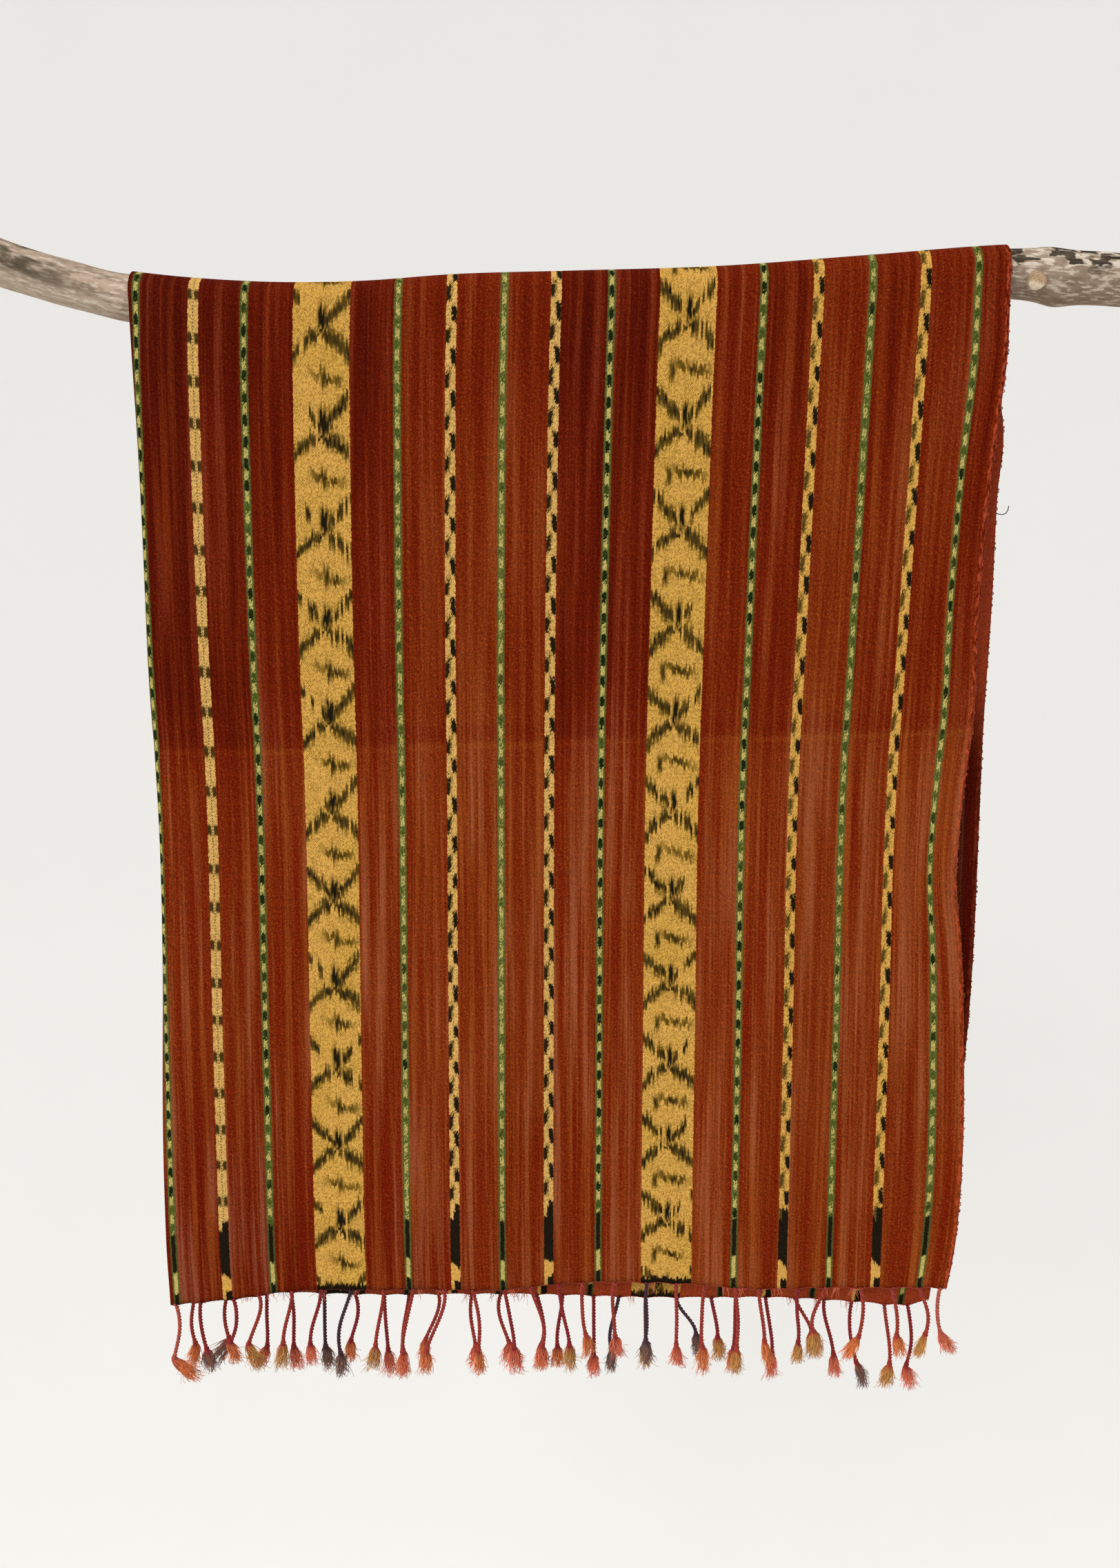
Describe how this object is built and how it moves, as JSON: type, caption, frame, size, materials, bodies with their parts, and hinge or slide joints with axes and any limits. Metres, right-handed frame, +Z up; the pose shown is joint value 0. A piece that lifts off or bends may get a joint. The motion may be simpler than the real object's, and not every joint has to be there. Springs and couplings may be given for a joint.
{
  "type": "ikat cloth on a wooden branch",
  "caption": "Striped ikat cloth with corded fringes, draped in half over a weathered wooden branch that is held up as a hanging rail.",
  "frame": {"origin": "on the branch's axis at the middle of the cloth's width", "axes": "+X to the right along the branch as seen from the front, +Y away from the viewer, +Z up"},
  "size_m": [1.185, 0.0641, 1.2706],
  "materials": {
    "wood": "weathered bare wood",
    "weave": "matte woven cotton with dyed stripes",
    "cords": "matte twisted cotton"
  },
  "bodies": {
    "root": {"branch": "wood", "cloth": "weave", "fringe_front": "cords", "fringe_back": "cords"}
  },
  "joints": []
}
